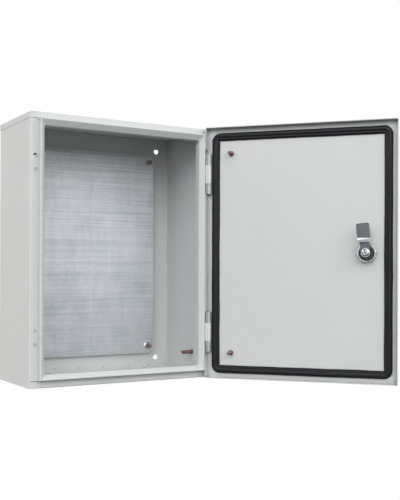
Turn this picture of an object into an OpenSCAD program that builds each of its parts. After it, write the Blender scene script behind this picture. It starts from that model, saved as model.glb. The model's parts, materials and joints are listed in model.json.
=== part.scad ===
// Steel wall enclosure with a hinged door, a quarter-turn lock and a
// galvanised mounting plate. The door is drawn standing open.
// X to the right seen from the front, Y into the wall, Z up.
// The origin is the middle of the rear face, which is the wall plane and
// the centre of the four wall fixing holes.

/* [Enclosure] */
// Width of the body
body_w = 300; // [260:5:400]
// Height of the body
body_h = 400; // [350:5:600]
// Depth of the body from the wall plane to the front rim's flat web
body_d = 137; // [110:1:260]
// Thickness of the body and door sheet
sheet_t = 1.2; // [1:0.1:1.5]
// Centre-line radius of the large bends
bend_r = 1.6; // [1.2:0.1:2]

/* [Front rim] */
// How far the sealing crest stands in front of the web
crest_h = 11.2; // [9:0.1:12]
// Distance from the outer face to the rim's upright lip
lip_in = 12.4; // [11:0.1:13]
// Distance from the top face to the upper rim's lip
lip_top = 10.6; // [10.6:0.1:11.5]
// Distance from the outer face to the inner return
return_in = 19.4; // [18:0.1:22]
// How far the inner return reaches behind the web plane
return_back = 6; // [4:0.5:8]

/* [Door] */
// How far the door's outer face stands in front of the web
door_out = 16; // [15.5:0.1:18]
// How far the door's edge overhangs the body at the sides and top
door_over = 0.8; // [0:0.1:0.9]
// Gap between the web and the door's edge
door_gap = 3.3; // [3.3:0.1:4]
// Angle at which the door is drawn
door_open = 131.5; // [0:0.5:131.5]
// Hinge axis, in from the side face
hinge_a = 3.9; // [3.7:0.1:4]
// Hinge axis, in front of the web
hinge_c = 9.2; // [9:0.1:9.5]
// Height of each hinge's centre above or below the middle
hinge_z = 126.5; // [90:0.5:150]

/* [Seal] */
// Width of the door seal
seal_w = 13; // [10:0.5:14]
// Distance from the door's edge to the seal
seal_in = 7.5; // [7.5:0.1:9]
// Radius of the seal's outer corners
seal_r = 13; // [8:0.5:16]

/* [Mounting plate] */
// Width of the mounting plate
plate_w = 228; // [200:1:240]
// Height of the mounting plate
plate_h = 338; // [300:1:350]
// Thickness of the mounting plate
plate_t = 1.5; // [1.5:0.5:2]
// Depth of the plate's front face behind the web plane
plate_y = 121; // [90:1:121]
// Width between the plate's studs
stud_dx = 205; // [160:1:212]
// Height between the plate's studs
stud_dz = 312; // [260:1:318]

/* [Wall fixing] */
// Width between the wall fixing holes
wall_dx = 254; // [240:1:262]
// Height between the wall fixing holes
wall_dz = 358; // [340:1:362]
// Diameter of the wall fixing holes
wall_hole = 9; // [7:0.5:10]

/* [Lock] */
// Distance from the door's free edge to the lock's axis
lock_x = 46.5; // [46:0.5:60]
// Reach of the cam from the lock's axis
cam_reach = 44.5; // [40:0.5:44.5]
// Lean of the unlocked cam away from upright
cam_lean = 5.7; // [0:0.1:8]
// Angle the cam is turned towards the locked position
cam_turn = 0; // [0:5:90]

/* [Cable entry] */
// Width of the cable entry in the floor
entry_w = 150; // [80:5:180]
// Depth of the cable entry in the floor
entry_d = 62; // [40:2:70]

/* [Hidden] */
W = body_w;
H = body_h;
D = body_d;
t = sheet_t;
h = t/2;
// Vertex of the crest's centre line: the fold cuts this corner by about 0.8
crest_v = crest_h + 0.82;
cap_h = 10;            // height of the top panel's outer flange
seam = 0.35;           // open seam between two welded panels
mit = 0.08;            // gap at a mitred corner
skin = door_out - t;   // inner face of the door sheet, in front of the web
hinge_len = 29.4;      // middle knuckle
knuckle = 16.4;        // each outer knuckle
knuckle_r = 3.3;
pin_r = 1.75;
hinge_hole = 8.2;      // rim fixing holes, in from the side face
stud_r = 2.95;
lock_r = 11.25;
lock_z = H/2 - 1;
entry_y = 62;
$fn = 48;

// ---- folded sheet: a centre line with rounded bends, given a thickness ----

function unit(v) = v/norm(v);
function left(v) = [-v[1], v[0]];
function turn(a, b) = a[0]*b[1] - a[1]*b[0];
// One bend seen from one side (k = 1 left of travel, -1 right of it)
function bend(p0, p1, p2, r, k, th, n) =
    let (a = unit(p0 - p1), b = unit(p2 - p1),
         half = acos(a*b)/2,
         c = p1 + unit(a + b)*r/sin(half),
         s = turn(-a, b) > 0 ? 1 : -1,
         rr = r - s*k*th/2,
         a0 = atan2(-s*left(-a)[1], -s*left(-a)[0]),
         sweep = s*(180 - 2*half))
    [for (i = [0:n]) c + rr*[cos(a0 + sweep*i/n), sin(a0 + sweep*i/n)]];
function side(p, r, k, th, n) =
    let (m = len(p) - 1,
         first = p[0] + k*th/2*left(unit(p[1] - p[0])),
         last = p[m] + k*th/2*left(unit(p[m] - p[m-1])))
    concat([first],
           [for (i = [1:1:m-1]) each bend(p[i-1], p[i], p[i+1], r[i-1], k, th, n)],
           [last]);
function flip(v) = [for (i = [len(v)-1:-1:0]) v[i]];
module folded(p, r, th = t, n = 5) {
    polygon(concat(side(p, r, 1, th, n), flip(side(p, r, -1, th, n))));
}
// Rectangle with rounded corners, as a plain outline
function round_rect(x0, y0, x1, y1, r, n = 6) =
    [for (q = [[x1-r, y1-r, 0], [x0+r, y1-r, 90], [x0+r, y0+r, 180], [x1-r, y0+r, 270]])
        for (i = [0:n]) [q[0] + r*cos(q[2] + 90*i/n), q[1] + r*sin(q[2] + 90*i/n)]];

// ---- placing ----

// From the body's own corner to the wall plane's centre
module placed() { translate([-W/2, -D, -H/2]) children(); }
// A shape drawn in the Y-Z plane, run along X
module along_x(len, x0 = 0) { translate([x0, 0, 0]) rotate([90, 0, 90]) linear_extrude(len) children(); }
// A shape drawn in the X-Z plane, run along Y from y0 to y1
module along_y(y0, y1) { translate([0, y1, 0]) rotate([90, 0, 0]) linear_extrude(y1 - y0) children(); }
module mirror_x() { children(); translate([W, 0, 0]) mirror([1, 0, 0]) children(); }
// A round bar along Y
module rod(x, z, y0, y1, r) { translate([x, y0, z]) rotate([-90, 0, 0]) cylinder(h = y1 - y0, r = r); }
// Door pieces are drawn closed, then swung about the hinge axis
module swung() {
    placed() translate([W - hinge_a, -hinge_c, 0]) rotate([0, 0, door_open])
        translate([-(W - hinge_a), hinge_c, 0]) children();
}
// Pieces on the lock's axis: local Z runs into the enclosure, local Y is down
module on_lock() { translate([lock_x, 0, lock_z]) rotate([-90, 0, 0]) children(); }
// Turning lock pieces: local +Y points along the cam
module on_cam() { on_lock() rotate([0, 0, 180 + cam_lean - cam_turn]) children(); }

// ---- front rim ----

// Centre line of the rim, [distance from the outer face, Y]
rim = [[return_in, return_back], [return_in, -4.3], [lip_in, -crest_v], [lip_in, h], [h, h]];
// The upper rim's lip is nearer the outer face
rim_top = [[return_in, return_back], [return_in, -4.3], [lip_top, 0.33 - crest_v], [lip_top, h], [h, h]];
rim_r = [1.2, 0.9, 2, bend_r];
function swap(p) = [for (q = p) [q[1], q[0]]];
function across(p) = [for (q = p) [W - q[0], q[1]]];
function to_top(p) = [for (q = p) [q[0], H - q[1]]];
// Mitre line between a side lip and one that stands e from its own outer face
function mitred(x, e) = e + (return_in - e)/(return_in - lip_in)*(x - lip_in);
// Side rim's corner beyond the mitre, clear of the web
module mitre_cut(g, e = lip_in) {
    along_y(-20, return_back + 2)
        polygon([[lip_in - 0.9, -1], [lip_in - 0.9, mitred(lip_in - 0.9, e) + g],
                 [return_in + 3, mitred(return_in + 3, e) + g], [return_in + 3, -1]]);
}
// Top and bottom rims' corner beyond the mitre
module mitre_end(e = lip_in) {
    along_y(-20, return_back + 2)
        polygon([[-1, mitred(lip_in - 0.7, e)], [lip_in - 0.7 - mit, mitred(lip_in - 0.7, e)],
                 [return_in + 3, mitred(return_in + 3, e) + mit], [-1, mitred(return_in + 3, e) + mit]]);
}
// Seam at the front's upper corners: level on the web, then curving down to the lip,
// [distance from the side face, distance from the top face]
corner_seam = [[5.5, cap_h], [8.4, cap_h + 0.3], [10.4, cap_h + 0.9], [lip_in - h, cap_h + 1.7]];
// and sloping down along the lip towards the crest, [Y, distance from the top face]
lip_seam = [[t, cap_h + 1.7], [0, cap_h + 1.7], [-10, cap_h + 5.2]];

module wall_holes() {
    for (x = [-1, 1], z = [-1, 1])
        rod(W/2 + x*wall_dx/2, H/2 + z*wall_dz/2, D - 4, D + 1, wall_hole/2);
}
module rim_holes(r = 3) {
    for (x = [hinge_hole, W - hinge_hole], z = [-1, 1], k = [-10, 10])
        rod(x, H/2 + z*hinge_z + k, -1, t + 2, r);
}

// Left side, back and right side bent from one sheet, with the side rims
module body_wrap() {
    color([0.83, 0.84, 0.83]) placed() difference() {
        union() {
            difference() {
                linear_extrude(H)
                    folded(concat(rim, [[h, D - h], [W - h, D - h]], flip(across(rim))),
                           concat(rim_r, [bend_r, bend_r], flip(rim_r)));
                // lips stop at the mitres
                mirror_x() mitre_cut(mit);
                mirror_x() translate([0, 0, H]) mirror([0, 0, 1]) mitre_cut(mit, lip_top);
                // the top panel's flange takes over here
                mirror_x() translate([-1, -1, H - cap_h]) cube([t + 1.1, D + 2, cap_h + 1]);
                mirror_x() translate([0, 0, H]) mirror([0, 0, 1]) {
                    along_y(-1, t + 1) polygon(concat([[lip_in - h, -1], [-1, -1], [-1, cap_h]], corner_seam));
                    along_x(2, lip_in - h - 0.6) polygon(concat([[t + 1, -1], [t + 1, cap_h + 1.7]], lip_seam, [[-10, -1]]));
                }
            }
            // bottom corner tabs beside the bottom panel's web
            mirror_x() translate([lip_in - 1.4, 0, 0]) cube([17 - lip_in + 1.4, t, lip_in - h - 0.2]);
            // lap strips behind the top seams
            mirror_x() translate([t, 4, H - 18]) cube([t, D - 12, 14]);
            mirror_x() translate([4, t, H - 16]) cube([lip_in - 3, t, 12]);
        }
        wall_holes();
        rim_holes();
    }
}

// Roof with its flanges over both sides and its own front rim
module top_panel() {
    color([0.86, 0.87, 0.87]) placed() difference() {
        union() {
            difference() {
                along_x(W) folded(to_top(concat(swap(rim_top), [[D - t - h - 0.1, h], [D - t - h - 0.1, 18]])),
                                  concat(rim_r, [bend_r]));
                mirror_x() translate([0, 0, H]) mirror([0, 0, 1]) top_ends();
            }
            mirror_x() translate([0, 0, H - cap_h + seam])
                linear_extrude(cap_h - seam - 0.6) folded([[lip_in + 2, h], [h, h], [h, D]], [bend_r]);
            mirror_x() translate([0, 0, H]) mirror([0, 0, 1]) translate([0, 0, -seam]) corner_tab();
        }
        // rounded long edges
        mirror_x() along_y(-1, D + 1)
            polygon(concat([[-1, H + 1], [-1, H - bend_r - h]],
                           [for (i = [0:5]) [(bend_r + h)*(1 - cos(18*i)), H - (bend_r + h)*(1 - sin(18*i))]], [[bend_r + h, H + 1]]));
        // rounded ends of the two vertical corners
        translate([0, 0, H - 3]) linear_extrude(5) difference() {
            translate([-5, -5]) square([W + 10, D + 10]);
            polygon(round_rect(0, 0, W, D + 10, bend_r + h, 5));
        }
    }
}
// The web's corner and the end of the side lip, joined to the top panel
module corner_tab() {
    along_y(0, t) polygon(concat([[lip_in + 0.4, cap_h - 0.6], [5.5, cap_h - 0.6]], corner_seam, [[lip_in + 0.4, cap_h + 1.7]]));
    along_x(t, lip_in - h) polygon(concat([[t, lip_top - 0.1]], lip_seam, [[-10, lip_top - 0.1]]));
}
module top_ends() {
    mitre_end(lip_top);
    // the rim is inside the side walls
    translate([-1, t + 1, 3]) cube([t + 1.1, return_back + 2, return_in]);
    // the rear flange stops short of the sides
    translate([-1, D - 6, 3]) cube([7, 8, 20]);
    // and the web's corner tab ends at the seam
    translate([-1, -1, cap_h - seam]) cube([lip_in + 0.2, t + 2, 5]);
}

// Floor with its front rim, a rear flange and the cable entry
module bottom_panel() {
    color([0.78, 0.79, 0.78]) placed() difference() {
        along_x(W - 2*t - 0.2, t + 0.1)
            folded(concat(swap(rim), [[D - t - h - 0.1, h], [D - t - h - 0.1, 18]]), concat(rim_r, [bend_r]));
        mirror_x() mitre_end();
        // web starts beside the side web's tab
        mirror_x() translate([-1, 0, -1]) cube([18 + seam/2, t + 0.4, lip_in + 0.3]);
        mirror_x() translate([-1, D - 6, 3]) cube([7, 8, 20]);
        // cable entry
        translate([W/2 - entry_w/2, entry_y - entry_d/2, -1]) cube([entry_w, entry_d, 4]);
    }
}

// ---- mounting plate ----

module stud_spots() { for (x = [-1, 1], z = [-1, 1]) translate([W/2 + x*stud_dx/2, 0, H/2 + z*stud_dz/2]) children(); }
module bar(y0, y1, r) { translate([0, y0, 0]) rotate([-90, 0, 0]) cylinder(h = y1 - y0, r = r); }
module tube(y0, y1, ro, ri) {
    translate([0, y0, 0]) rotate([-90, 0, 0]) difference() {
        cylinder(h = y1 - y0, r = ro);
        translate([0, 0, -1]) cylinder(h = y1 - y0 + 2, r = ri);
    }
}
module hexnut(y0, y1, af, ri) {
    translate([0, y0, 0]) rotate([-90, 0, 0]) difference() {
        intersection() {
            cylinder(h = y1 - y0, r = af/sqrt(3), $fn = 6);
            cylinder(h = y1 - y0, r = af/sqrt(3) - 0.35);
        }
        translate([0, 0, -1]) cylinder(h = y1 - y0 + 2, r = ri);
    }
}

module mounting_plate() {
    py = plate_y + plate_t/2;
    z0 = (H - plate_h)/2;
    lean = 6.6;
    color([0.72, 0.74, 0.75]) placed() difference() {
        intersection() {
            along_x(plate_w, W/2 - plate_w/2)
                folded([[py + lean, z0], [py, z0 + lean], [py, H - z0 - lean], [py + lean, H - z0]], [2, 2], plate_t, 4);
            along_y(plate_y - 5, D)
                polygon([[W/2 - plate_w/2 + 5, z0 - 2], [W/2 + plate_w/2 - 5, z0 - 2],
                         [W/2 + plate_w/2, z0 + lean + 1], [W/2 + plate_w/2, H - z0 - lean - 1],
                         [W/2 + plate_w/2 - 5, H - z0 + 2], [W/2 - plate_w/2 + 5, H - z0 + 2],
                         [W/2 - plate_w/2, H - z0 - lean - 1], [W/2 - plate_w/2, z0 + lean + 1]]);
        }
        stud_spots() bar(plate_y - 2, plate_y + 4, 3.4);
    }
}
module plate_studs() {
    color([0.62, 0.42, 0.35]) placed() stud_spots() {
        bar(plate_y - 13, D - t, stud_r);
        bar(D - t - 1, D - t, stud_r + 1.2);
    }
}
module plate_spacers() {
    color([0.75, 0.76, 0.77]) placed() stud_spots() tube(plate_y + plate_t, D - t - 1.1, 5, 3.2);
}
module plate_washers() {
    color([0.8, 0.8, 0.8]) placed() stud_spots() tube(plate_y - 1.2, plate_y, 6, 3.2);
}
module plate_nuts() {
    color([0.8, 0.8, 0.8]) placed() stud_spots() hexnut(plate_y - 6.2, plate_y - 1.2, 10, 3.02);
}

// Copper-plated earth stud on the right wall
module earth_stud() {
    color([0.62, 0.42, 0.35]) placed() translate([W - t, 48, 37]) rotate([0, -90, 0]) {
        cylinder(h = 19.4, r = 3);
        cylinder(h = 1, r = 4.2);
    }
}

// ---- cable entry ----

module entry_spots() { for (x = [-1, 1], y = [-1, 1]) translate([W/2 + x*(entry_w/2 + 9), entry_y + y*(entry_d/2 + 2), 0]) children(); }
// Sheet with its stud holes, open in the middle where it is a seal
module entry_plate(x, y, thick, open = false) {
    linear_extrude(thick) difference() {
        polygon(round_rect(W/2 - x/2, entry_y - y/2, W/2 + x/2, entry_y + y/2, 4, 4));
        for (a = [-1, 1], b = [-1, 1])
            translate([W/2 + a*(entry_w/2 + 9), entry_y + b*(entry_d/2 + 2)]) circle(r = 2.8);
        if (open) translate([W/2 - entry_w/2 - 1, entry_y - entry_d/2 - 1]) square([entry_w + 2, entry_d + 2]);
    }
}
module gland_plate() {
    color([0.72, 0.74, 0.75]) placed() translate([0, 0, t + 2])
        entry_plate(entry_w + 34, entry_d + 24, 1.5);
}
module gland_gasket() {
    color([0.16, 0.16, 0.17]) placed() translate([0, 0, t])
        entry_plate(entry_w + 30, entry_d + 20, 2, true);
}
module gland_studs() {
    color([0.62, 0.42, 0.35]) placed() entry_spots() translate([0, 0, t]) cylinder(h = 8.4, r = 2.45);
}
module gland_nuts() {
    color([0.8, 0.8, 0.8]) placed() entry_spots() translate([0, 0, t + 3.5]) difference() {
        union() {
            cylinder(h = 1, r = 5.4);
            cylinder(h = 4.6, r = 8/sqrt(3), $fn = 6);
        }
        translate([0, 0, -1]) cylinder(h = 8, r = 2.5);
    }
}

// ---- hinges ----

hx = W - hinge_a;
// Block on the rim's web that carries the middle knuckle
module body_leaf(z) {
    color([0.86, 0.87, 0.86]) placed() difference() {
        union() {
            translate([hx, -hinge_c, z - hinge_len/2]) cylinder(h = hinge_len, r = knuckle_r);
            translate([hx - 6.6, -hinge_c, z - hinge_len/2]) cube([5.2, hinge_c, hinge_len]);
        }
        translate([hx, -hinge_c, z - hinge_len/2 - 1]) cylinder(h = hinge_len + 2, r = pin_r + 0.07);
        for (k = [-10, 10]) rod(W - hinge_hole, z + k, -6.5, 1, 1.75);
    }
}
module upper_body_leaf() { body_leaf(H/2 + hinge_z); }
module lower_body_leaf() { body_leaf(H/2 - hinge_z); }
// Screws from inside the rim into the blocks
module hinge_screws() {
    color([0.8, 0.8, 0.8]) placed() for (s = [-1, 1], k = [-10, 10])
        translate([W - hinge_hole, 0, H/2 + s*hinge_z + k]) {
            bar(-6, t + 0.5, 1.72);
            difference() {
                bar(t, t + 2.6, 3.9);
                translate([-0.5, t + 1.3, -3]) cube([1, 3, 6]);
                translate([-3, t + 1.3, -0.5]) cube([6, 3, 1]);
            }
        }
}
// Blanking plugs in the rim holes that no hinge uses
module rim_plugs() {
    color([0.6, 0.61, 0.62]) placed()
        for (z = [H/2 + hinge_z - 10, H/2 - hinge_z + 10, H/2 - hinge_z - 10])
            translate([hinge_hole, 0, z]) {
                bar(0.25, t + 1.2, 2.94);
                bar(t + 0.02, t + 0.9, 4);
            }
}
// Two knuckles on a narrow strip that is welded inside the door's edge
module door_leaf(z) {
    color([0.7, 0.71, 0.72]) swung() difference() {
        union() {
            translate([hx - 2.8, -skin, z - hinge_len/2 - knuckle - 0.3])
                cube([5.3, 1.5, hinge_len + 2*knuckle + 0.6]);
            for (s = [0, 1])
                translate([0, 0, z - hinge_len/2 - knuckle - 0.3 + s*(hinge_len + knuckle + 0.6)]) {
                    translate([hx, -hinge_c, 0]) cylinder(h = knuckle, r = knuckle_r);
                    // leg that closes the gap to the door's edge
                    translate([hx + 2, 1.1 - skin, 0]) cube([1.4, skin - 6.5, knuckle]);
                }
        }
        translate([hx, -hinge_c, z - 60]) cylinder(h = 120, r = pin_r + 0.02);
    }
}
module upper_door_leaf() { door_leaf(H/2 + hinge_z); }
module lower_door_leaf() { door_leaf(H/2 - hinge_z); }
// Lift-out pin with a small head at its lower end
module hinge_pin(z) {
    bottom = z - hinge_len/2 - knuckle - 1.6;
    color([0.66, 0.67, 0.68]) swung() translate([hx, -hinge_c, bottom]) {
        cylinder(h = hinge_len + 2*knuckle + 2.6, r = pin_r);
        cylinder(h = 1.2, r1 = 2.2, r2 = 2.6);
    }
}
module upper_hinge_pin() { hinge_pin(H/2 + hinge_z); }
module lower_hinge_pin() { hinge_pin(H/2 - hinge_z); }

// ---- door ----

// The pan's outline as a solid, shrunk by g
module pan(g) {
    top = H + door_over;
    intersection() {
        linear_extrude(top + 1)
            polygon(round_rect(g - door_over, -door_out + g, W + door_over - g, 20, bend_r + h - g, 5));
        along_x(W + 4, -2) polygon(round_rect(-door_out + g, g, 20, top - g, bend_r + h - g, 5));
    }
}
module door_panel() {
    color([0.85, 0.86, 0.85]) swung() difference() {
        pan(0);
        pan(t);
        translate([-2, -door_gap, -1]) cube([W + 4, 40, H + 3]);
        // the edge is cut away around each hinge, further towards the door's ends
        for (s = [-1, 1])
            translate([W + door_over - t - 0.8, -door_out + 3.8,
                       H/2 + s*hinge_z - hinge_len/2 - knuckle - (s > 0 ? 1.3 : 8)])
                cube([t + 3, 30, hinge_len + 2*knuckle + 9.3]);
        // lock hole with two flats
        on_lock() translate([0, 0, -door_out - 1]) intersection() {
            cylinder(h = t + 2, r = lock_r + 0.15);
            translate([-10.45, -20, -1]) cube([20.9, 40, t + 4]);
        }
    }
}
// Foam seal, as it stands with the door shut
module door_gasket() {
    color([0.13, 0.13, 0.14]) swung() along_y(-skin, -crest_h - 0.4) difference() {
        polygon(round_rect(seal_in, seal_in, W - seal_in, H - seal_in, seal_r, 8));
        polygon(round_rect(seal_in + seal_w, seal_in + seal_w, W - seal_in - seal_w, H - seal_in - seal_w, 2.5, 3));
    }
}
// Copper-plated weld studs near the hinge side
module door_studs() {
    color([0.62, 0.42, 0.35]) swung() for (z = [41, H - 41])
        translate([W - 39.5, 0, z]) {
            bar(-skin, -skin + 14, stud_r);
            bar(-skin, -skin + 0.9, stud_r + 1.2);
        }
}

// ---- lock ----

module lock_housing() {
    color([0.1, 0.1, 0.11]) swung() on_lock() difference() {
        union() {
            translate([0, 0, -door_out - 3.4]) cylinder(h = 1, r1 = 14, r2 = 15);
            translate([0, 0, -door_out - 2.4]) cylinder(h = 1.8, r = 15);
            intersection() {
                translate([0, 0, -door_out - 1]) cylinder(h = door_out + 4, r = lock_r);
                translate([-10.3, -20, -door_out - 2]) cube([20.6, 40, door_out + 8]);
            }
        }
        translate([0, 0, -30]) cylinder(h = 40, r = 7.06);
        translate([0, 0, -door_out - 5]) cylinder(h = 10, r = 8.7);
        translate([0, 0, 2.2]) cylinder(h = 2, r = 8.8);
    }
}
module lock_seal() {
    color([0.2, 0.2, 0.2]) swung() on_lock() translate([0, 0, -door_out - 0.6]) difference() {
        cylinder(h = 0.6, r = 14.4);
        translate([0, 0, -1]) cylinder(h = 3, r = lock_r + 0.1);
    }
}
module lock_washer() {
    color([0.75, 0.76, 0.77]) swung() on_lock() translate([0, 0, -skin]) difference() {
        union() {
            cylinder(h = 1.2, r = 13.4);
            for (i = [0:15]) rotate([0, 0, i*22.5]) translate([12.5, -1.1, 0]) cube([1.9, 2.2, 1.2]);
        }
        translate([0, 0, -1]) cylinder(h = 4, r = lock_r + 0.1);
    }
}
module lock_nut() {
    color([0.75, 0.76, 0.77]) swung() on_lock() translate([0, 0, -skin + 1.2]) rotate([0, 0, 9]) difference() {
        intersection() {
            cylinder(h = 5, r = 27/sqrt(3), $fn = 6);
            union() {
                cylinder(h = 4.2, r = 27/sqrt(3) + 1);
                translate([0, 0, 4.2]) cylinder(h = 0.8, r1 = 15.6, r2 = 14.2);
            }
        }
        translate([0, 0, -1]) cylinder(h = 8, r = lock_r + 0.1);
    }
}
// Turning core with a triangular key post outside and a square end inside
module lock_rotor() {
    color([0.72, 0.73, 0.74]) swung() on_cam() difference() {
        union() {
            translate([0, 0, -door_out - 1.4]) cylinder(h = 5, r = 4.9, $fn = 3);
            translate([0, 0, -door_out + 2]) cylinder(h = 2.9, r = 8.6);
            translate([0, 0, -door_out + 2]) cylinder(h = door_out + 0.9, r = 7);
            translate([-4, -4, 0]) cube([8, 8, 5.3]);
        }
        translate([0, 0, -8]) cylinder(h = 20, r = 2.9);
    }
}
module lock_cam() {
    color([0.5, 0.51, 0.54]) swung() on_cam() difference() {
        intersection() {
            translate([-15, 0, 0]) along_x(30) folded([[-7.2, 4.35], [14.4, 4.35], [20.4, 7.95], [cam_reach, 7.95]], [1.6, 1.6], 2.5, 4);
            linear_extrude(20) union() {
                circle(r = 6.9);
                polygon([[-6.9, 0], [6.9, 0], [6.9, 15], [9.7, 20.5], [9.7, cam_reach - 1.6], [8.1, cam_reach],
                         [-8.1, cam_reach], [-9.7, cam_reach - 1.6], [-9.7, 20.5], [-6.9, 15]]);
            }
        }
        translate([-4.05, -4.05, 0]) cube([8.1, 8.1, 8]);
    }
}
module cam_washer() {
    color([0.85, 0.85, 0.85]) swung() on_cam() translate([0, 0, 5.62]) difference() {
        cylinder(h = 1.1, r = 6.6);
        translate([0, 0, -1]) cylinder(h = 4, r = 3);
    }
}
module cam_screw() {
    color([0.88, 0.88, 0.88]) swung() on_cam() difference() {
        union() {
            translate([0, 0, -6]) cylinder(h = 13, r = 2.85);
            translate([0, 0, 6.74]) cylinder(h = 2, r = 6);
            translate([0, 0, 8.74]) cylinder(h = 1.5, r1 = 6, r2 = 3.6);
        }
        for (a = [0, 90]) rotate([0, 0, a + 20]) translate([-3.6, -0.7, 8.2]) cube([7.2, 1.4, 4]);
    }
}

body_wrap();
top_panel();
bottom_panel();
mounting_plate();
plate_studs();
plate_spacers();
plate_washers();
plate_nuts();
earth_stud();
upper_body_leaf();
lower_body_leaf();
hinge_screws();
rim_plugs();
gland_plate();
gland_gasket();
gland_studs();
gland_nuts();
door_panel();
door_gasket();
door_studs();
upper_door_leaf();
lower_door_leaf();
upper_hinge_pin();
lower_hinge_pin();
lock_housing();
lock_seal();
lock_washer();
lock_nut();
lock_rotor();
lock_cam();
cam_washer();
cam_screw();
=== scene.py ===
"""Steel wall enclosure: finishes, seal, threads, weld marks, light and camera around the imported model."""
import json
import math
import random

import bmesh
import bpy
import numpy as np
from mathutils import Matrix, Vector, noise


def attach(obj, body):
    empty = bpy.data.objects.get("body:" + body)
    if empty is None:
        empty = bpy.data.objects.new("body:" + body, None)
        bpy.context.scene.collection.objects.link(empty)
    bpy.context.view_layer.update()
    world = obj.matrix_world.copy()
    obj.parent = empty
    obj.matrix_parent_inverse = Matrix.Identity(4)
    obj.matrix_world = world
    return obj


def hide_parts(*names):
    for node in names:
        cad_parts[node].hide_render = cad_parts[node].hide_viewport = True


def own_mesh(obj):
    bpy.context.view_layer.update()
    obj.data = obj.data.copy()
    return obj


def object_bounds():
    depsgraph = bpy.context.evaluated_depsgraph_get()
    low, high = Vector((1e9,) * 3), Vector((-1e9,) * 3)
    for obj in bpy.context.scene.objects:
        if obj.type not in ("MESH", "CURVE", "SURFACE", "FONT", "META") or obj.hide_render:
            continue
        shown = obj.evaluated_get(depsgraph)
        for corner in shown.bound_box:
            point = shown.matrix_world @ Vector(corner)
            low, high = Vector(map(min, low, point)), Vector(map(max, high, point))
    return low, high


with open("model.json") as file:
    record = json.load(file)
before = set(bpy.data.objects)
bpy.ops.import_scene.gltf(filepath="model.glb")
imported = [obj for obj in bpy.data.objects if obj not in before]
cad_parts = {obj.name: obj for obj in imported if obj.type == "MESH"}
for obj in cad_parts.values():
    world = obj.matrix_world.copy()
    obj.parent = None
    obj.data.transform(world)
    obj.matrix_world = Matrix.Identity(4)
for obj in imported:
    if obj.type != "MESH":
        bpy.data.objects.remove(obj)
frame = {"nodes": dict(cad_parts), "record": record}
nodes = frame["nodes"]
cad_box = [list(v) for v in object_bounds()]
scene = bpy.context.scene
random.seed(7)

# ------------------------------------------------------------------ sizes (metres, row frame)
W, H, D = 0.300, 0.400, 0.137
SHEET = 0.0012
DOOR_OUT = 0.016
SKIN = DOOR_OUT - SHEET
HINGE_A, HINGE_C = 0.0039, 0.0092
OPEN = math.radians(131.5)
DOOR = Matrix.Translation((W / 2 - HINGE_A, -D - HINGE_C, 0)) @ Matrix.Rotation(OPEN, 4, "Z") @ Matrix.Translation(
    (-(W / 2 - HINGE_A), D + HINGE_C, 0))


def at(x, y, z):
    """A point given in mm from the body's front lower left corner, in the row frame."""
    return Vector((x / 1000 - W / 2, y / 1000 - D, z / 1000 - H / 2))


def door_at(x, y, z):
    """The same for a point on the shut door, swung to where the door stands."""
    return DOOR @ at(x, y, z)


DOOR_IN = (DOOR.to_3x3() @ Vector((0, 1, 0))).normalized()   # out of the door's inner face

# ------------------------------------------------------------------ small node helpers


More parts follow.
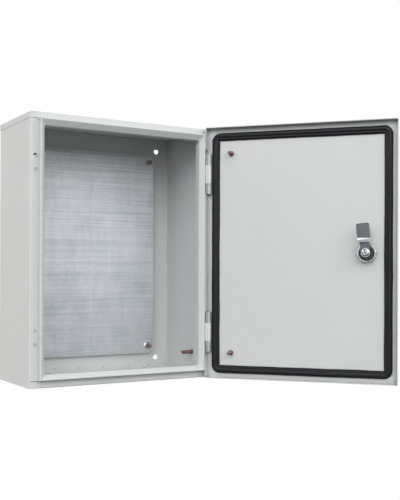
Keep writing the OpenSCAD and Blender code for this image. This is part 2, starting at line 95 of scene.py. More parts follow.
class Mat:
    def __init__(self, name):
        self.m = bpy.data.materials.new(name)
        self.m.use_nodes = True
        self.t = self.m.node_tree
        self.t.nodes.clear()
        self.out = self.t.nodes.new("ShaderNodeOutputMaterial")
        self.b = self.t.nodes.new("ShaderNodeBsdfPrincipled")
        self.t.links.new(self.b.outputs[0], self.out.inputs[0])
        self.co = self.t.nodes.new("ShaderNodeTexCoord").outputs["Object"]

    def n(self, kind, **kw):
        node = self.t.nodes.new(kind)
        for k, v in kw.items():
            if k.startswith("i_"):
                node.inputs[k[2:].replace("_", " ")].default_value = v
            else:
                setattr(node, k, v)
        return node

    def link(self, a, b):
        self.t.links.new(a, b)
        return b

    def scaled(self, x, y, z, src=None, rot=(0, 0, 0)):
        mp = self.n("ShaderNodeMapping")
        mp.inputs["Scale"].default_value = (x, y, z)
        mp.inputs["Rotation"].default_value = rot
        self.link(src or self.co, mp.inputs["Vector"])
        return mp.outputs[0]

    def noise(self, src, scale, detail=2.0, rough=0.5, distortion=0.0):
        nz = self.n("ShaderNodeTexNoise")
        nz.inputs["Scale"].default_value = scale
        nz.inputs["Detail"].default_value = detail
        nz.inputs["Roughness"].default_value = rough
        nz.inputs["Distortion"].default_value = distortion
        self.link(src, nz.inputs["Vector"])
        return nz.outputs["Fac"]

    def ramp(self, src, stops, interp="LINEAR"):
        r = self.n("ShaderNodeValToRGB")
        r.color_ramp.interpolation = interp
        while len(r.color_ramp.elements) < len(stops):
            r.color_ramp.elements.new(0.5)
        for e, (p, c) in zip(r.color_ramp.elements, stops):
            e.position = p
            e.color = (c, c, c, 1) if isinstance(c, (int, float)) else (*c, 1)
        self.link(src, r.inputs[0])
        return r.outputs[0]

    def span(self, src, a0, a1, b0, b1, clamp=True):
        r = self.n("ShaderNodeMapRange")
        r.clamp = clamp
        for k, v in (("From Min", a0), ("From Max", a1), ("To Min", b0), ("To Max", b1)):
            r.inputs[k].default_value = v
        self.link(src, r.inputs["Value"])
        return r.outputs[0]

    def math(self, op, a, b=None, c=None):
        nd = self.n("ShaderNodeMath", operation=op)
        for i, v in enumerate((a, b, c)):
            if v is None:
                continue
            if isinstance(v, (int, float)):
                nd.inputs[i].default_value = v
            else:
                self.link(v, nd.inputs[i])
        return nd.outputs[0]

    def mix(self, fac, a, b, blend="MIX"):
        nd = self.n("ShaderNodeMix", data_type="RGBA", blend_type=blend)
        for sock, v in ((nd.inputs[0], fac), (nd.inputs[6], a), (nd.inputs[7], b)):
            if isinstance(v, (int, float)):
                sock.default_value = v
            elif isinstance(v, (tuple, list)):
                sock.default_value = (*v, 1) if len(v) == 3 else v
            else:
                self.link(v, sock)
        return nd.outputs[2]

    def bump(self, height, strength, dist, normal=None):
        b = self.n("ShaderNodeBump")
        b.inputs["Strength"].default_value = strength
        b.inputs["Distance"].default_value = dist
        self.link(height, b.inputs["Height"])
        if normal is not None:
            self.link(normal, b.inputs["Normal"])
        return b.outputs[0]

    def set(self, **kw):
        for k, v in kw.items():
            s = self.b.inputs[k.replace("_", " ")]
            if hasattr(v, "is_output"):
                self.link(v, s)
            elif isinstance(v, tuple) and len(v) == 3 and s.type == "RGBA":
                s.default_value = (*v, 1)
            else:
                s.default_value = v


# ------------------------------------------------------------------ finishes

def powder(name, tone, rough=0.34, peel=1.0, recess_shade=None):
    """Light grey powder coat: fine orange peel, a slow faint change of gloss, softened and slightly paler edges."""
    m = Mat(name)
    fine = m.noise(m.co, 900, 2, 0.55)
    mid = m.noise(m.co, 260, 2, 0.5)
    slow = m.noise(m.co, 9, 3, 0.55)
    speck = m.noise(m.co, 2600, 1, 0.5)
    tint = m.ramp(slow, [(0.3, tuple(c * 0.985 for c in tone)), (0.7, tuple(min(1, c * 1.012) for c in tone))])
    grain = m.span(speck, 0.3, 0.75, 0.975, 1.02)
    col = m.mix(1.0, tint, grain, "MULTIPLY")
    # painted shade: when asked, the colour is darkened where ambient occlusion finds recesses and gaps between parts,
    # down to the given factor
    if recess_shade:
        ao = m.n("ShaderNodeAmbientOcclusion", samples=12)
        ao.inputs["Distance"].default_value = 0.009
        col = m.mix(1.0, col, m.span(ao.outputs["AO"], 0.35, 0.86, recess_shade, 1.0), "MULTIPLY")
    soft = m.n("ShaderNodeBevel", samples=6)
    soft.inputs["Radius"].default_value = 0.0005
    h = m.math("MULTIPLY_ADD", mid, 1.6, fine)
    m.set(Base_Color=col, Roughness=m.span(m.math("ADD", slow, m.math("MULTIPLY", fine, 0.5)), 0.45, 1.05, rough - 0.05, rough + 0.07),
          Normal=m.bump(h, 0.32 * peel, 0.00006, soft.outputs[0]))
    m.b.inputs["Specular IOR Level"].default_value = 0.45
    return m.m


def galvanised(name):
    """Hot-dip sheet skin-passed on a mill: fine streaks along X, cloudy patches, rubbed vertical smudges."""
    m = Mat(name)
    streak = m.noise(m.scaled(6, 40, 620), 1.0, 5, 0.62)
    fine = m.noise(m.scaled(14, 60, 2400), 1.0, 3, 0.6)
    bands = m.noise(m.scaled(2.5, 10, 75), 1.0, 4, 0.6, 0.4)
    weave = m.noise(m.scaled(420, 60, 14), 1.0, 4, 0.6)
    cloud = m.noise(m.scaled(20, 16, 26), 1.0, 5, 0.65, 0.8)
    smudge = m.noise(m.scaled(46, 10, 12), 1.0, 4, 0.65, 0.9)
    fleck = m.noise(m.scaled(170, 90, 700), 1.0, 3, 0.6, 0.3)
    worn = m.span(m.noise(m.scaled(9, 9, 13), 1.0, 3, 0.55, 0.5), 0.46, 0.66, 0.0, 1.0)
    a = m.math("MULTIPLY_ADD", streak, 0.42, m.math("MULTIPLY", fine, 0.14))
    a = m.math("MULTIPLY_ADD", bands, 0.20, a)
    a = m.math("MULTIPLY_ADD", weave, 0.05, a)
    a = m.math("MULTIPLY_ADD", cloud, 0.18, a)
    a = m.math("MULTIPLY_ADD", smudge, 0.22, a)
    a = m.math("SUBTRACT", a, m.math("MULTIPLY", m.math("MULTIPLY", worn, m.span(fleck, 0.50, 0.68, 0.0, 1.0)), 0.12))
    a = m.math("ADD", a, -0.01)
    col = m.ramp(a, [(0.46, (0.43, 0.46, 0.495)), (0.60, (0.60, 0.622, 0.65)), (0.76, (0.75, 0.765, 0.785))])
    gen = m.n("ShaderNodeTexCoord").outputs["Generated"]
    sep = m.n("ShaderNodeSeparateXYZ")
    m.link(gen, sep.inputs[0])
    # painted shade: the sheet is made darker towards its lower end
    col = m.mix(1.0, col, m.span(sep.outputs[2], 0.10, 0.42, 0.83, 1.0), "MULTIPLY")
    # painted highlight: the bent top and bottom edges of the plate are paled towards white
    ends = m.math("MAXIMUM", m.span(sep.outputs[2], 0.975, 0.985, 0.0, 1.0), m.span(sep.outputs[2], 0.015, 0.025, 1.0, 0.0))
    col = m.mix(m.math("MULTIPLY", ends, 0.6), col, (0.95, 0.95, 0.96))
    h = m.math("MULTIPLY_ADD", streak, 0.8, m.math("MULTIPLY", fine, 0.6))
    m.set(Base_Color=col, Metallic=0.40, Roughness=m.span(a, 0.48, 0.76, 0.52, 0.40), Normal=m.bump(h, 0.25, 0.00005))
    m.b.inputs["Specular IOR Level"].default_value = 0.5
    return m.m


def zinc(name, tone, rough, metallic=1.0, grain=0.3, scale=900, spots=0.15, recess_shade=0.0):
    m = Mat(name)
    nz = m.noise(m.co, scale, 3, 0.6)
    slow = m.noise(m.co, scale / 6, 3, 0.6)
    col = m.ramp(slow, [(0.3, tuple(c * (1 - spots) for c in tone)), (0.7, tuple(min(1, c * (1 + spots / 2)) for c in tone))])
    # painted shade: when asked, the colour is darkened towards near black where ambient occlusion within the given
    # distance finds recesses
    if recess_shade:
        ao = m.n("ShaderNodeAmbientOcclusion", samples=8)
        ao.inputs["Distance"].default_value = recess_shade
        col = m.mix(1.0, col, m.span(ao.outputs["AO"], 0.45, 0.95, 0.08, 1.0), "MULTIPLY")
    m.set(Base_Color=col, Metallic=metallic, Roughness=m.span(nz, 0.3, 0.7, rough * 0.8, min(1, rough * 1.25)),
          Normal=m.bump(nz, grain, 0.00004))
    return m.m


def cam_finish(name):
    """Passivated cam: dull dark grey flats with wear, and a pale band on the joggle between them as a painted
    reflection of the floor.
    """
    m = Mat(name)
    nz = m.noise(m.co, 900, 3, 0.6)
    slow = m.noise(m.co, 420, 4, 0.65)
    sep = m.n("ShaderNodeSeparateXYZ")
    m.link(m.n("ShaderNodeTexCoord").outputs["Generated"], sep.inputs[0])
    z = sep.outputs[2]
    flat = m.ramp(slow, [(0.3, (0.075, 0.080, 0.084)), (0.7, (0.150, 0.156, 0.160))])
    neck = m.ramp(slow, [(0.3, (0.080, 0.085, 0.105)), (0.7, (0.130, 0.135, 0.165))])
    col = m.mix(m.span(z, 0.50, 0.52, 0.0, 1.0), neck, flat)
    # painted reflection: the joggle band between the flats is made near white, standing for the floor it mirrors
    joggle_reflection = m.math("MULTIPLY", m.span(z, 0.425, 0.455, 0.0, 1.0), m.span(z, 0.545, 0.565, 1.0, 0.0))
    col = m.mix(joggle_reflection, col, (0.94, 0.94, 0.97))
    m.set(Base_Color=col, Metallic=0.55, Roughness=m.span(nz, 0.3, 0.7, 0.36, 0.50), Normal=m.bump(nz, 0.7, 0.00004))
    return m.m


def rubber(name, tone, rough, pit=0.4, gloss=0.36):
    m = Mat(name)
    cell = m.noise(m.co, 1500, 3, 0.6)
    slow = m.noise(m.co, 60, 3, 0.6)
    col = m.ramp(slow, [(0.3, tuple(c * 0.8 for c in tone)), (0.7, tuple(c * 1.25 for c in tone))])
    m.set(Base_Color=col, Roughness=m.span(slow, 0.3, 0.7, rough - 0.05, rough + 0.08),
          Normal=m.bump(m.math("MULTIPLY_ADD", slow, 2.0, cell), pit, 0.00010))
    m.b.inputs["Specular IOR Level"].default_value = gloss
    return m.m


MATS = {
    "body_paint": powder("body_paint", (0.590, 0.600, 0.592)),
    # the door's coat is the body coat with painted shade: darkened in recesses, along the flanges and beside the seal
    "door_paint_shaded": powder("door_paint_shaded", (0.590, 0.600, 0.592), 0.34, 1.0, 0.58),
    "leaf_paint": powder("leaf_paint", (0.640, 0.650, 0.642), 0.33, 0.5),
    "galvanised": galvanised("galvanised"),
    "copper_plate": zinc("copper_plate", (0.235, 0.140, 0.132), 0.40, 0.75, 0.4, 1400, 0.3),
    "zinc": zinc("zinc", (0.72, 0.73, 0.74), 0.24, 1.0, 0.25, 1100, 0.12),
    "hinge_zinc": zinc("hinge_zinc", (0.47, 0.49, 0.49), 0.45, 0.6, 0.5, 1300, 0.14),
    "cam_zinc": cam_finish("cam_zinc"),
    # painted shade darkens the screw's zinc in its slot
    "screw_zinc": zinc("screw_zinc", (0.60, 0.62, 0.63), 0.22, 1.0, 0.3, 1100, 0.12, 0.0022),
    "nut_zinc": zinc("nut_zinc", (0.50, 0.51, 0.51), 0.30, 1.0, 0.35, 1100, 0.2),
    "lock_black": rubber("lock_black", (0.018, 0.018, 0.020), 0.30, 0.25),
    "foam_black": rubber("foam_black", (0.0075, 0.0075, 0.0095), 0.46, 0.55, 0.27),
    "plug_grey": rubber("plug_grey", (0.40, 0.41, 0.42), 0.50, 0.3),
    # painted shade: a near black coat for strips laid in the joints and seams, where shade falls
    "joint_dark": powder("joint_dark", (0.10, 0.105, 0.105), 0.6, 0.6),
    "weld_mark": powder("weld_mark", (0.40, 0.41, 0.41), 0.45, 0.8),
}
slot_of = {s["node"]: s["material_slot"] for s in frame["record"]["subparts"]}
for n, o in nodes.items():
    for s in o.material_slots:
        s.material = MATS[{"door_panel": "door_paint_shaded", "cam_screw": "screw_zinc", "lock_nut": "nut_zinc"}.get(n, slot_of[n])]

# ------------------------------------------------------------------ mesh helpers


def piece(name, verts, faces, body, slot, smooth=True, replaces=(), angle=None):
    me = bpy.data.meshes.new(name)
    me.from_pydata([tuple(v) for v in verts], [], faces)
    me.validate()
    bm = bmesh.new()
    bm.from_mesh(me)
    bmesh.ops.recalc_face_normals(bm, faces=bm.faces)
    bm.to_mesh(me)
    bm.free()
    me.polygons.foreach_set("use_smooth", [smooth] * len(me.polygons))
    if angle is not None:
        me.set_sharp_from_angle(angle=math.radians(angle))
    o = bpy.data.objects.new(name, me)
    scene.collection.objects.link(o)
    me.materials.append(MATS[slot])
    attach(o, body)
    if replaces:
        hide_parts(*replaces)
    return o


def basis(axis, hint=(0, 0, 1)):
    z = Vector(axis).normalized()
    x = Vector(hint).cross(z)
    if x.length < 1e-6:
        x = Vector((1, 0, 0)).cross(z)
    x.normalize()
    return x, z.cross(x), z


def lathe_rings(rings, base, axis, seg=32, close=True):
    """Verts and faces for rings of (distance along the axis, radius or function of the angle)."""
    x, y, z = basis(axis)
    verts, faces = [], []
    for d, r in rings:
        for i in range(seg):
            a = 2 * math.pi * i / seg
            rr = r(a) if callable(r) else r
            verts.append(Vector(base) + z * d + (x * math.cos(a) + y * math.sin(a)) * rr)
    for k in range(len(rings) - 1):
        for i in range(seg):
            j = (i + 1) % seg
            faces.append((k * seg + i, k * seg + j, (k + 1) * seg + j, (k + 1) * seg + i))
    if close:
        faces.append(tuple(range(seg - 1, -1, -1)))
        top = (len(rings) - 1) * seg
        faces.append(tuple(range(top, top + seg)))
    return verts, faces


def stud(base, axis, length, r, pitch=0.001, depth=0.00045, flange=None, seg=28, plain=0.0008):
    """A threaded weld stud: flange, helical thread and a chamfered end, as one closed mesh."""
    x, y, z = basis(axis)
    verts, faces = [], []
    rows = []
    if flange:
        fr, fh = flange
        rows += [(0.0, fr), (fh * 0.75, fr), (fh, fr - 0.0004), (fh, r - depth * 0.6)]
        start = fh
    else:
        rows += [(0.0, r - depth * 0.5)]
        start = 0.0
    end = length - 0.0007
    per = 4
    steps = int(round((end - start - plain) / pitch * per))
    for k in range(steps + 1):
        rows.append((start + plain + k * pitch / per, None))
    rows += [(length - 0.0002, r - 0.0006), (length, r - 0.0009)]
    for d, rr in rows:
        for i in range(seg):
            a = 2 * math.pi * i / seg
            if rr is None:
                ph = ((d - start) / pitch + i / seg) % 1.0
                tri = abs(2 * ph - 1)
                fade = min(1.0, (end - d) / 0.0008 + 0.25, (d - start) / 0.0012 + 0.1)
                rad = r - depth * (1 - min(1.0, max(0.0, (tri - 0.12) / 0.76))) * max(0.0, min(1.0, fade)) - (
                    0.0006 * max(0.0, 1 - (end - d) / 0.0006))
            else:
                rad = rr
            verts.append(Vector(base) + z * d + (x * math.cos(a) + y * math.sin(a)) * rad)
    for k in range(len(rows) - 1):
        for i in range(seg):
            j = (i + 1) % seg
            faces.append((k * seg + i, k * seg + j, (k + 1) * seg + j, (k + 1) * seg + i))
    faces.append(tuple(range(seg - 1, -1, -1)))
    top = (len(rows) - 1) * seg
    faces.append(tuple(range(top, top + seg)))
    return verts, faces


def merged(parts):
    verts, faces = [], []
    for v, f in parts:
        k = len(verts)
        verts += v
        faces += [tuple(i + k for i in q) for q in f]
    return verts, faces


# ------------------------------------------------------------------ threaded studs in place of the plain ones

piece("door_stud_threads", *merged([stud(door_at(W * 1000 - 39.5, -SKIN * 1000, z), DOOR_IN, 0.014, 0.00295, flange=(0.00415, 0.0009))
                                    for z in (41, 359)]), "door", "copper_plate", True, ["door_studs"], 35)
piece("earth_stud_thread", *stud(at(300 - 1.2, 48, 37), (-1, 0, 0), 0.0194, 0.003, flange=(0.0042, 0.001)), "body", "copper_plate",
      True, ["earth_stud"], 35)
piece("plate_stud_threads", *merged([stud(at(150 + sx * 102.5, D * 1000 - 1.2, 200 + sz * 156), (0, -1, 0), (D * 1000 - 1.2 - 108) / 1000,
                                          0.00295, flange=(0.00415, 0.001)) for sx in (-1, 1) for sz in (-1, 1)]),
      "body", "copper_plate", True, ["plate_studs"], 35)
piece("gland_stud_threads", *merged([stud(at(150 + sx * 84, 62 + sy * 33, 1.2), (0, 0, 1), 0.0083, 0.00245, pitch=0.0008, depth=0.00035)
                                     for sx in (-1, 1) for sy in (-1, 1)]), "body", "copper_plate", True, ["gland_studs"], 35)

# black collar of the lock's housing, lying on its nut
collar, V0 = [], [(6.18, 8.3), (6.18, 12.1), (6.45, 12.3), (6.85, 12.0), (6.95, 11.4), (6.95, 8.9), (6.8, 8.3)]
cx, cy, cz = basis(DOOR_IN)
for i in range(64):
    a = 2 * math.pi * i / 64
    collar += [door_at(46.5, -SKIN * 1000, 199) + cz * (d / 1000) + (cx * math.cos(a) + cy * math.sin(a)) * (r / 1000) for d, r in V0]
piece("lock_collar", collar, [(i * 7 + k, i * 7 + (k + 1) % 7, (i + 1) % 64 * 7 + (k + 1) % 7, (i + 1) % 64 * 7 + k)
                              for i in range(64) for k in range(7)], "door", "lock_black", True, (), 40)

# ------------------------------------------------------------------ foam seal on the door

SEAL_W, SEAL_IN, SEAL_H = 13.0, 7.5, 4.9


def seal_mesh():
    r = 7.2
    c = SEAL_IN + SEAL_W / 2
    x0, x1, z0, z1 = c, 300 - c, c, 400 - c
    path = []

    def straight(ax, az, bx, bz, step=2.2):
        n = max(2, int(math.hypot(bx - ax, bz - az) / step))
        nx, nz = (bz - az), -(bx - ax)
        L = math.hypot(nx, nz)
        for i in range(n):
            t = i / n
            path.append((ax + (bx - ax) * t, az + (bz - az) * t, nx / L, nz / L))

    def corner(cx, cz, a0, n=12):
        for i in range(n):
            a = math.radians(a0 + 90 * i / n)
            path.append((cx + r * math.cos(a), cz + r * math.sin(a), math.cos(a), math.sin(a)))

    straight(x1, z0 + r, x1, z1 - r)
    corner(x1 - r, z1 - r, 0)
    straight(x1 - r, z1, x0 + r, z1)
    corner(x0 + r, z1 - r, 90)
    straight(x0, z1 - r, x0, z0 + r)
    corner(x0 + r, z0 + r, 180)
    straight(x0 + r, z0, x1 - r, z0)
    corner(x1 - r, z0 + r, 270)
    prof = []
    K = 28
    for i in range(K + 1):
        u = -1 + 2 * i / K
        a = abs(u)
        v = (1 - a ** 3.6) ** 0.60
        v *= 1 - 0.20 * math.exp(-((u + 0.30) / 0.24) ** 2) - 0.10 * math.exp(-((u + 0.75) / 0.30) ** 2)
        prof.append((u, v))
    verts, faces = [], []
    N = len(path)
    for k, (px, pz, nx, nz) in enumerate(path):
        q = Vector((px * 0.011, pz * 0.011, 3.7))
        outer = 0.32 * noise.noise(q * 2.2) + 0.16 * noise.noise(q * 9)
        inner = 0.55 * noise.noise(q * 1.7 + Vector((9, 2, 5))) + 0.22 * noise.noise(q * 8 + Vector((3, 8, 1)))
        high = 0.16 * noise.noise(q * 2.6 + Vector((5, 5, 5))) + 0.10 * noise.noise(q * 11 + Vector((1, 4, 7)))
        shift = 0.25 * noise.noise(q * 3.1 + Vector((2, 7, 3)))
        for u, v in prof:
            half = SEAL_W / 2 + (outer if u > 0 else inner)
            s = u * half + shift * (1 - u * u)
            hgt = v * (SEAL_H + high)
            verts.append(door_at(px + nx * s, -SKIN * 1000 - 0.1 + hgt, pz + nz * s))
    M = len(prof)
    for k in range(N):
        l = (k + 1) % N
        for i in range(M - 1):
            faces.append((k * M + i, k * M + i + 1, l * M + i + 1, l * M + i))
        faces.append((k * M + M - 1, k * M, l * M, l * M + M - 1))
    return verts, faces


seal = piece("door_seal_foam", *seal_mesh(), "door", "foam_black", True, ["door_gasket"], 60)
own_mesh(seal)

# ------------------------------------------------------------------ welds

TOP_LIP = 10.6


def bead(points, r, flat=1.0, seg=10, lump=0.12, seed=0.0):
    """A short weld bead: a lumpy tube along the points, rounded off at both ends."""
    pts = [Vector(p) for p in points]
    verts, faces = [], []
    n = len(pts)
    for k, p in enumerate(pts):
        d = (pts[min(k + 1, n - 1)] - pts[max(k - 1, 0)]).normalized()
        x, y, z = basis(d, (0.3, 0.2, 1))
        end = min(k, n - 1 - k)
        rr = r * min(1.0, (0.30, 0.80, 1.0)[min(end, 2)]) * (1 + lump * noise.noise(Vector((k * 0.9, seed, 1.7))))
        for i in range(seg):
            a = 2 * math.pi * i / seg
            verts.append(p + (x * math.cos(a) + y * math.sin(a) * flat) * rr)
    for k in range(n - 1):
        for i in range(seg):
            j = (i + 1) % seg
            faces.append((k * seg + i, k * seg + j, (k + 1) * seg + j, (k + 1) * seg + i))
    faces.append(tuple(range(seg - 1, -1, -1)))
    faces.append(tuple(range((n - 1) * seg, n * seg)))
    return verts, faces


def run(a, b, n):
    return [a.lerp(b, k / (n - 1)) for k in range(n)]


# tack welds between the roof and the back and right walls
ticks = [bead(run(at(x - 2.1, 134.35, 398.65), at(x + 2.1, 134.35, 398.65), 7), 0.00115, seed=x) for x in (44, 104, 159, 202, 254)]
ticks += [bead(run(at(298.7, y - 3.0, 398.65), at(298.7, y + 3.0, 398.65), 7), 0.0009, seed=y) for y in (38, 104)]
ticks += [bead(run(at(1.3, y - 3.0, 398.65), at(1.3, y + 3.0, 398.65), 7), 0.0009, seed=y + 5) for y in (38, 104)]
piece("roof_tack_welds", *merged(ticks), "body", "body_paint", True)

# open joint line between the roof's rear flange and the ceiling, dark because nothing lights it
vj, fj = [], []
for k in range(60):
    x = 8 + 284 * k / 59
    wob = 0.10 * noise.noise(Vector((x * 0.08, 2.0, 0)))
    for dy, dz in ((0, -0.02), (-0.55 + wob, -0.02), (-0.55 + wob, -0.12), (-0.1, -0.55), (0, -0.55)):
        vj.append(at(x, 134.52 + dy, 398.8 + dz))
for k in range(59):
    for i in range(5):
        j = (i + 1) % 5
        fj.append((k * 5 + i, k * 5 + j, (k + 1) * 5 + j, (k + 1) * 5 + i))
fj.append(tuple(range(4, -1, -1)))
fj.append(tuple(range(59 * 5, 60 * 5)))
piece("roof_joint_line", vj, fj, "body", "joint_dark", True)


def dimple(c, axis, r=1.5, depth=0.28):
    """Spot weld mark: a shallow dished ring standing a hair proud of the sheet."""
    rings = [(-0.0002, r * 1.25 / 1000), (0.00004, r * 1.2 / 1000), (0.00012, r * 1.0 / 1000), (0.00010, r * 0.8 / 1000),
             (-0.00002, r * 0.55 / 1000), (-0.00010, r * 0.25 / 1000)]
    return lathe_rings(rings, c, axis, 18)


# the darker coat of the marks is partly the weld under the paint and partly painted shade in the dish
spots = [dimple(at(x, 134.5, z), (0, -1, 0)) for x, z in ((44, 11.2), (91.5, 11.2), (133.4, 10.6), (176.5, 9.8), (224, 8.6), (262.4, 8.2))]
piece("spot_weld_marks", *merged(spots), "body", "weld_mark", True)


def corner_weld(sx, top):
    """Ground weld over a rim corner: a fan from the crest's corner to a rounded inner edge of the return."""
    e = TOP_LIP if top else 12.4
    R = 3.0
    crest_y = -11.35
    A = []
    for i in range(9):
        a = math.radians(90 * i / 8)
        A.append((20.0 + R * (1 - math.sin(a)), 20.0 + R * (1 - math.cos(a))))
    def P(x, y, v):
        return at(x if sx < 0 else 300 - x, y, 400 - v if top else v)
    verts = [P(13.7, crest_y + 0.15, e + 1.3)]
    for (x, v) in A:
        verts.append(P(x * 0.55 + 12.9 * 0.45, -8.5, v * 0.55 + (e + 0.5) * 0.45))
    for (x, v) in A:
        verts.append(P(x - 0.05, -5.05, v - 0.05))
    for (x, v) in A:
        verts.append(P(x, -3.9, v))
    for (x, v) in A:
        verts.append(P(x, 5.9, v))
    for (x, v) in A:
        verts.append(P(19.5, 5.9, 19.5))
    for (x, v) in A:
        verts.append(P(19.6, -3.6, 19.6))
    n = len(A)
    faces = []
    for i in range(n - 1):
        faces.append((0, 1 + i, 2 + i))
    for k in range(5):
        for i in range(n - 1):
            a = 1 + k * n + i
            faces.append((a, a + 1, a + n + 1, a + n))
    # close the underside back to the apex
    last = 1 + 5 * n
    for i in range(n - 1):
        faces.append((last + i + 1, last + i, 0))
    for side in (0, n - 1):
        loop = [0] + [1 + k * n + side for k in range(6)]
        faces.append(tuple(loop if side else loop[::-1]))
    me = bpy.data.meshes.new("tmp")
    me.from_pydata([tuple(v) for v in verts], [], faces)
    bm = bmesh.new()
    bm.from_mesh(me)
    bmesh.ops.remove_doubles(bm, verts=bm.verts, dist=1e-6)
    bmesh.ops.dissolve_degenerate(bm, dist=1e-7, edges=bm.edges)
    bm.verts.index_update()
    vs = [v.co.copy() for v in bm.verts]
    fs = [tuple(v.index for v in f.verts) for f in bm.faces]
    bm.free()
    bpy.data.meshes.remove(me)
    return vs, fs


piece("rim_corner_welds", *merged([corner_weld(sx, top) for sx in (-1, 1) for top in (False, True)]), "body", "body_paint", True, (), 40)

# ends of the lip seams, closed with a small ground weld on the crest, and dark strips in the seams as painted shade
# of the joints
drops, lines = [], []


def ribbon(points, normal, width, proud=0.00004, deep=0.0005):
    """A thin dark strip standing for the shade in a seam: a flat strip along the points, sunk into the joint."""
    pts = [Vector(p) for p in points]
    nrm = Vector(normal).normalized()
    verts, faces = [], []
    n = len(pts)
    for k, p in enumerate(pts):
        d = (pts[min(k + 1, n - 1)] - pts[max(k - 1, 0)]).normalized()
        side = d.cross(nrm).normalized() * (width / 2) * (1 + 0.25 * noise.noise(Vector((k * 0.8, p.x * 90, 4.0))))
        verts += [p + side * 0.8 + nrm * proud, p - side * 0.8 + nrm * proud, p - side - nrm * deep, p + side - nrm * deep]
    for k in range(n - 1):
        for i in range(4):
            j = (i + 1) % 4
            faces.append((k * 4 + i, k * 4 + j, (k + 1) * 4 + j, (k + 1) * 4 + i))
    faces.append((3, 2, 1, 0))
    faces.append(tuple((n - 1) * 4 + i for i in range(4)))
    return verts, faces


for sx in (-1, 1):
    def P(x, y, v):
        return at(x if sx < 0 else 300 - x, y, 400 - v)
    drops.append(bead(run(P(12.9, -11.0, 15.2), P(14.4, -10.2, 19.2), 8), 0.0010, seed=sx))
    web = [(1.2, 9.85), (3.5, 9.83), (5.5, 9.85), (7.0, 9.95), (8.4, 10.15), (9.4, 10.45), (10.4, 10.8), (11.4, 11.5)]
    lines.append(ribbon([P(x, 0.0, v) for x, v in web], (0, -1, 0), 0.00085))
    lip = [(-0.9, 11.9), (-3, 12.75), (-5, 13.5), (-7, 14.2), (-9.2, 15.0)]
    lines.append(ribbon([P(11.8, y, v) for y, v in lip], (-1 if sx < 0 else 1, 0, 0), 0.00085))
    lines.append(ribbon([at(0 if sx < 0 else 300, 1.8 + 133.5 * k / 30, 390.17) for k in range(31)], (-1 if sx < 0 else 1, 0, 0), 0.00075, 0.0))
piece("crest_welds", *merged(drops), "body", "body_paint", True)
piece("seam_lines", *merged(lines), "body", "joint_dark", True, (), 40)

# ------------------------------------------------------------------ camera

F_PX, AZ, ROLL, CY = 837.18, 31.170, 0.198, 275.35
cam_data = bpy.data.cameras.new("camera")
cam_data.sensor_width = 36
cam_data.lens = F_PX * 36 / 500
cam_data.shift_y = (CY - 250) / 500
cam_data.clip_start = 0.01
cam = bpy.data.objects.new("camera", cam_data)
scene.collection.objects.link(cam)
cam.matrix_world = (Matrix.Translation(at(-411.86, -1152.17, 164.14)) @ Matrix.Rotation(math.radians(-AZ), 4, "Z")
                    @ Matrix.Rotation(math.radians(90), 4, "X") @ Matrix.Rotation(math.radians(ROLL), 4, "Z"))
scene.camera = cam

# ------------------------------------------------------------------ studio

scene.view_settings.view_transform = "Standard"
scene.view_settings.look = "None"
world = bpy.data.worlds.new("studio")
scene.world = world
world.use_nodes = True
wt = world.node_tree
wt.nodes.clear()

# Soft studio surround: broad glows at (elevation, azimuth) with a strength and tint; azimuth 0 is in front, 90 to the right
GLOWS = [(-60, 0, 0.415, (0.968, 1.002, 0.985)), (-60, 90, 0.681, (0.985, 0.993, 0.996)), (-30, -130, 0.511, (0.990, 0.978, 0.972)),
         (-30, 50, 0.146, (0.998, 1.003, 1.004)), (0, -130, 1.359, (1.006, 0.988, 0.962)), (0, 110, 1.775, (1.004, 1.004, 1.004)),
         (0, 180, 0.300, (1.0, 1.0, 1.0)), (25, -130, 1.874, (1.029, 0.994, 0.987)), (25, -75, 0.649, (1.058, 0.980, 0.979)),
         (25, -50, 3.210, (1.0, 1.011, 1.025)), (25, -25, 1.385, (0.926, 1.009, 1.008)), (25, 0, 1.875, (0.985, 0.967, 0.970)),
         (25, 25, 0.709, (1.014, 0.991, 0.998)), (25, 50, 2.023, (1.093, 1.108, 1.115)), (50, -20, 0.213, (1.002, 1.001, 1.004)),
         (50, 15, 0.143, (1.005, 1.002, 1.003)), (50, 130, 1.306, (1.004, 1.004, 1.005))]
LAM = 12.0


def wnode(kind, **kw):
    n = wt.nodes.new(kind)
    for k, v in kw.items():
        setattr(n, k, v)
    return n


def wlink(a, b):
    wt.links.new(a, b)


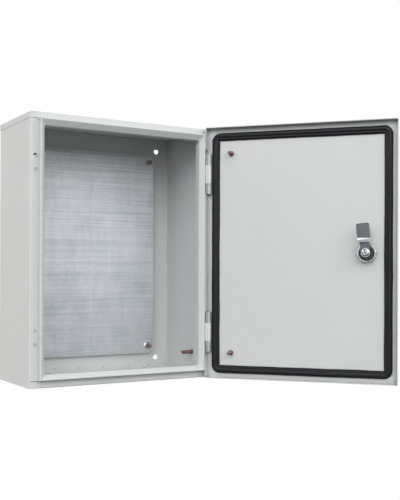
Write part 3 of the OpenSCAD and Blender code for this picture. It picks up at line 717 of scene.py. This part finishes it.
wo = wnode("ShaderNodeOutputWorld")
tc = wnode("ShaderNodeTexCoord")
total = None
for el, az, amp, tint in GLOWS:
    e, a = math.radians(el), math.radians(az)
    dot = wnode("ShaderNodeVectorMath", operation="DOT_PRODUCT")
    wlink(tc.outputs["Generated"], dot.inputs[0])
    dot.inputs[1].default_value = (math.sin(a) * math.cos(e), -math.cos(a) * math.cos(e), math.sin(e))
    ma = wnode("ShaderNodeMath", operation="MULTIPLY_ADD")
    wlink(dot.outputs["Value"], ma.inputs[0])
    ma.inputs[1].default_value = LAM
    ma.inputs[2].default_value = math.log(amp) - LAM
    ex = wnode("ShaderNodeMath", operation="EXPONENT")
    wlink(ma.outputs[0], ex.inputs[0])
    sc = wnode("ShaderNodeVectorMath", operation="SCALE")
    sc.inputs[0].default_value = tint
    wlink(ex.outputs[0], sc.inputs["Scale"])
    if total is None:
        total = sc.outputs[0]
    else:
        ad = wnode("ShaderNodeVectorMath", operation="ADD")
        wlink(total, ad.inputs[0])
        wlink(sc.outputs[0], ad.inputs[1])
        total = ad.outputs[0]
lit = wnode("ShaderNodeBackground")
wlink(total, lit.inputs[0])
lit.inputs[1].default_value = 1.0
seen = wnode("ShaderNodeBackground")
seen.inputs[0].default_value = (1, 1, 1, 1)
seen.inputs[1].default_value = 1.0
lp = wnode("ShaderNodeLightPath")
mixw = wnode("ShaderNodeMixShader")
wlink(lp.outputs["Is Camera Ray"], mixw.inputs[0])
wlink(lit.outputs[0], mixw.inputs[1])
wlink(seen.outputs[0], mixw.inputs[2])
wlink(mixw.outputs[0], wo.inputs[0])

fl = bpy.data.meshes.new("floor")
S = 6.0
fl.from_pydata([(-S, -S, 0), (S, -S, 0), (S, S, 0), (-S, S, 0)], [], [(0, 1, 2, 3)])
floor = bpy.data.objects.new("floor", fl)
scene.collection.objects.link(floor)
floor.location.z = cad_box[0][2] - 0.0004
fm = bpy.data.materials.new("floor_white")
fm.use_nodes = True
ft = fm.node_tree
ft.nodes.clear()
fo = ft.nodes.new("ShaderNodeOutputMaterial")
fe = ft.nodes.new("ShaderNodeEmission")
fe.inputs[0].default_value = (1, 1, 1, 1)
fe.inputs[1].default_value = 1.0
ft.links.new(fe.outputs[0], fo.inputs[0])
fl.materials.append(fm)
floor.visible_diffuse = False
floor.visible_glossy = False
floor.visible_shadow = False

bpy.context.view_layer.update()
